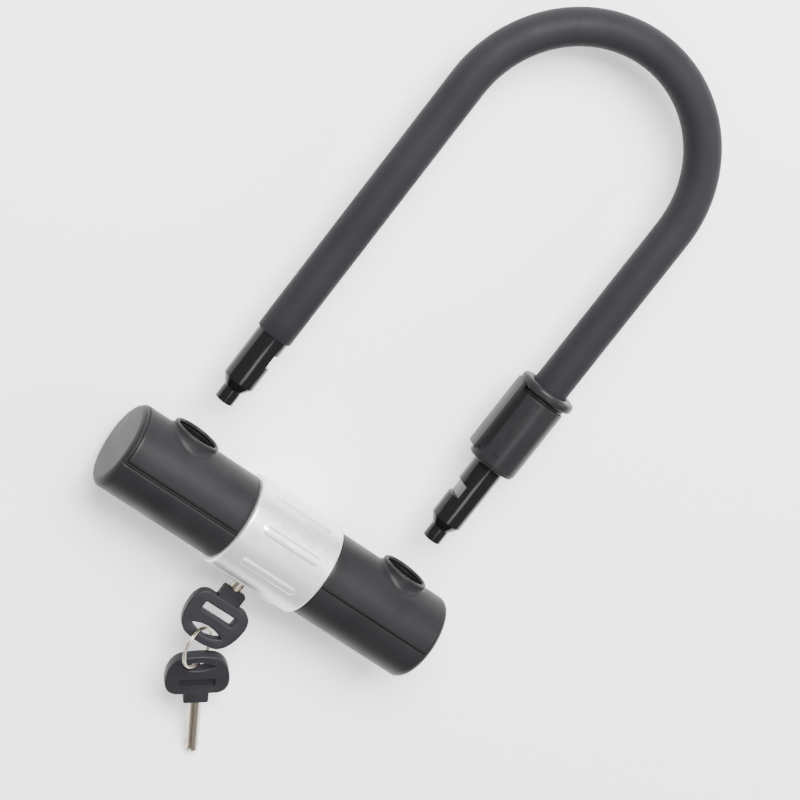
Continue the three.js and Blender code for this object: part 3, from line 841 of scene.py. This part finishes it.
def outline_curve(name, outlines, thickness, edge):
    """Outlines filled as one plate with rounded edges; the later ones are holes."""
    curve = bpy.data.curves.new(name, "CURVE")
    curve.dimensions = "2D"
    curve.fill_mode = "BOTH"
    curve.extrude = thickness / 2 - edge
    curve.bevel_depth = edge
    curve.bevel_resolution = 3
    curve.offset = -edge
    for outline in outlines:
        spline = curve.splines.new("POLY")
        spline.points.add(len(outline) - 1)
        for point, (x, y) in zip(spline.points, outline):
            point.co = (x, y, 0, 1)
        spline.use_cyclic_u = True
    piece = bpy.data.objects.new(name, curve)
    bpy.context.scene.collection.objects.link(piece)
    graph = bpy.context.evaluated_depsgraph_get()
    mesh = bpy.data.meshes.new_from_object(piece.evaluated_get(graph))
    vertices = [tuple(v.co) for v in mesh.vertices]
    faces = [tuple(p.vertices) for p in mesh.polygons]
    bpy.data.objects.remove(piece)
    return vertices, faces


def bow_neck():
    half = NECK_WIDTH / 2
    low = -NECK_LENGTH - 2.5
    outline = rounded([(-half, low), (half, low), (half, 0), (-half, 0)], 1.0, 4)
    return outline_curve("neck", [outline], BOW_THICK - 0.7, 0.5)


def build_bow(name, body, node, place, open_window, material):
    """A key's bow; its window goes through, or is a recess in both faces."""
    holes = [slot_outline()] + ([window_outline()] if open_window else [])
    plate = outline_curve("bow", [bow_outline()] + holes, BOW_THICK, 0.7)
    bow = mesh_piece(name, [plate, bow_neck()], place, 40)
    if not open_window:
        floor = BOW_THICK / 2 - RECESS_DEPTH
        for z0, z1 in ((floor, BOW_THICK), (-BOW_THICK, -floor)):
            cutter = extrude_part(window_outline(), z0, z1)
            carve(bow, mesh_piece("recess_cutter", [cutter], place))
        bow.data.set_sharp_from_angle(angle=math.radians(40))
    finish_piece(bow, body, "key_plastic", material, node)


def blade_section():
    """The half-round section with a groove down its round side, as (x, z) going round."""
    groove_low, groove_high, groove_floor = 0.5, 1.5, 0.3

    def crown(x):
        return BLADE_FLAT_Z + math.sqrt(BLADE_R ** 2 - x * x)

    def round_side(x_from, x_to, count):
        angles = np.linspace(math.acos(x_from / BLADE_R), math.acos(x_to / BLADE_R), count)
        return [(x, crown(x)) for x in BLADE_R * np.cos(angles)]

    groove = [(groove_high - 0.08, crown(groove_high) - 0.35), (groove_high - 0.2, groove_floor),
              (groove_low + 0.2, groove_floor), (groove_low + 0.08, crown(groove_low) - 0.35)]
    return round_side(BLADE_R, groove_high, 14) + groove + round_side(groove_low, -BLADE_R, 26)


def blade_width(y):
    """Half width allowed at each place along the blade: two steps, then the end block."""
    left = BLADE_LENGTH - y
    if left < BLADE_CHAMFER:
        return BLADE_R - BLADE_CHAMFER + left
    cut = 0.0
    for reach, depth in BLADE_STEPS:
        if left < reach:
            cut = depth
    return BLADE_R - cut


def build_blade(name, body, node, place, material):
    stations = [-TANG_LENGTH, 0, 8, 16]
    for reach, _ in BLADE_STEPS:
        stations += [BLADE_LENGTH - reach - 0.15, BLADE_LENGTH - reach + 0.15]
    stations += [BLADE_LENGTH - BLADE_CHAMFER, BLADE_LENGTH]
    section = blade_section()
    rows = []
    for y in stations:
        width = blade_width(y)
        rows.append([(max(-width, min(width, x)), y, z) for x, z in section])
    blade = mesh_piece(name, [capped(rows)], place, 32)
    finish_piece(blade, body, "nickel", material, node)


def build_ring(material):
    """A split ring: two flat turns of wire that step over each other."""
    steps = 220
    half_width, half_height = RING_WIRE_HALF
    section = rounded([(-half_width, -half_height), (half_width, -half_height),
                       (half_width, half_height), (-half_width, half_height)], 0.22, 3)
    rows = []
    for i in range(steps + 1):
        t = i / steps
        angle = math.radians(RING_START) + RING_TURNS * 2 * math.pi * t * 0.985
        step = min(1, max(0, (t - 0.46) / 0.08))
        level = -RING_TURN_STEP + 2 * RING_TURN_STEP * step * step * (3 - 2 * step)
        rows.append([((RING_R + r) * math.cos(angle), (RING_R + r) * math.sin(angle), level + h)
                     for r, h in section])
    ring = mesh_piece("split_ring", [capped(rows)], ring_place(), 35)
    finish_piece(ring, "ring", "nickel", material, "key_ring")


# ---------------------------------------------------------------------------
# CAD pieces that keep their shape
# ---------------------------------------------------------------------------
def dress_node(name, material):
    node = frame["nodes"][name]
    node.data.materials.clear()
    node.data.materials.append(material)
    bevel(node, 0.15, 2, 40)


def dress_mechanism(steel, brass, guide):
    for name in ("crossbar_tube", "housing_pin", "keyway_bezel", "lock_cam", "bolt_left",
                 "bolt_right"):
        dress_node(name, steel)
    for name in ["lock_housing", "lock_core"] + [f"detainer_disc_{i}" for i in range(1, 7)]:
        dress_node(name, brass)
    for name in ("bolt_guide_left", "bolt_guide_right"):
        dress_node(name, guide)


# ---------------------------------------------------------------------------
# Stage, in metres
# ---------------------------------------------------------------------------
VIEW_FROM = Vector((-0.3476, 0.1677, 0.9225))
VIEW_UP = Vector((-0.5297, 0.7767, -0.3408))
VIEW_TARGET = Vector((0.0056, 0.0806, 0))
VIEW_DISTANCE = 1.2429
LENS = 135.0
FLOOR_HALF = 6.0
FLOOR_ALBEDO = 0.93
FLOOR_GLOW = 0.4
SKY_STRENGTH = 0.45


def build_camera():
    data = bpy.data.cameras.new("camera")
    data.lens = LENS
    data.sensor_width = 36
    data.clip_start = 0.05
    camera = bpy.data.objects.new("camera", data)
    bpy.context.scene.collection.objects.link(camera)
    back = VIEW_FROM.normalized()
    right = VIEW_UP.cross(back).normalized()
    up = back.cross(right)
    turn = Matrix((right, up, back)).transposed().to_4x4()
    target = BAR.translation + VIEW_TARGET
    camera.matrix_world = Matrix.Translation(target + back * VIEW_DISTANCE) @ turn
    bpy.context.scene.camera = camera


def build_floor():
    """A pale sheet that glows a little, so that it comes out nearly white."""
    mesh = bpy.data.meshes.new("floor")
    corners = [(x * FLOOR_HALF, y * FLOOR_HALF, 0) for x, y in ((-1, -1), (1, -1), (1, 1), (-1, 1))]
    mesh.from_pydata(corners, [], [(0, 1, 2, 3)])
    floor = bpy.data.objects.new("floor", mesh)
    bpy.context.scene.collection.objects.link(floor)
    material = bpy.data.materials.new("floor_paper")
    material.use_nodes = True
    shader = material.node_tree.nodes["Principled BSDF"]
    shader.inputs["Base Color"].default_value = (FLOOR_ALBEDO, FLOOR_ALBEDO, FLOOR_ALBEDO, 1)
    shader.inputs["Roughness"].default_value = 0.9
    shader.inputs["Emission Color"].default_value = (1, 1, 1, 1)
    shader.inputs["Emission Strength"].default_value = FLOOR_GLOW
    mesh.materials.append(material)


def area_light(name, place, size, power):
    """A rectangular light turned to the middle of the lock."""
    data = bpy.data.lights.new(name, "AREA")
    data.shape = "RECTANGLE"
    data.size, data.size_y = size
    data.energy = power
    light = bpy.data.objects.new(name, data)
    light.location = place
    light.rotation_euler = (-Vector(place)).to_track_quat("-Z", "Y").to_euler()
    bpy.context.scene.collection.objects.link(light)


def build_lights():
    world = bpy.data.worlds.new("studio")
    world.use_nodes = True
    background = world.node_tree.nodes["Background"]
    background.inputs["Color"].default_value = (1, 1, 1, 1)
    background.inputs["Strength"].default_value = SKY_STRENGTH
    bpy.context.scene.world = world
    area_light("upper_light", (-0.35, 0.9, 1.25), (1.2, 0.8), 98)
    area_light("side_light", (1.2, 0.5, 0.8), (0.5, 1.0), 14)
    area_light("top_light", (0.1, -0.25, 1.7), (0.5, 0.5), 6)


# ---------------------------------------------------------------------------
# Build
# ---------------------------------------------------------------------------
build_camera()
build_floor()
build_lights()

nickel_material = nickel()
plastic_material = cover_plastic()
key_material = key_plastic()
build_covers(plastic_material)
build_liners(liner_rubber())
build_collar(satin_silver())
build_rod(black_steel())
build_coating(vinyl())
build_sleeve(sleeve_plastic())
build_bow("bow_a", "key_a", "key_a_bow", KEY_A, True, key_material)
build_blade("blade_a", "key_a", "key_a_blade", KEY_A, nickel_material)
build_ring(nickel_material)
build_bow("bow_b", "key_b", "key_b_bow", key_b_place(), False, key_material)
build_blade("blade_b", "key_b", "key_b_blade", key_b_place(), nickel_material)
dress_mechanism(machined("plain_steel", (0.5, 0.51, 0.53), 0.34),
                machined("brass", (0.62, 0.46, 0.2), 0.32),
                moulded_plastic("guide_plastic", (0.5, 0.49, 0.45), 0.5, 0.5, 0.01))
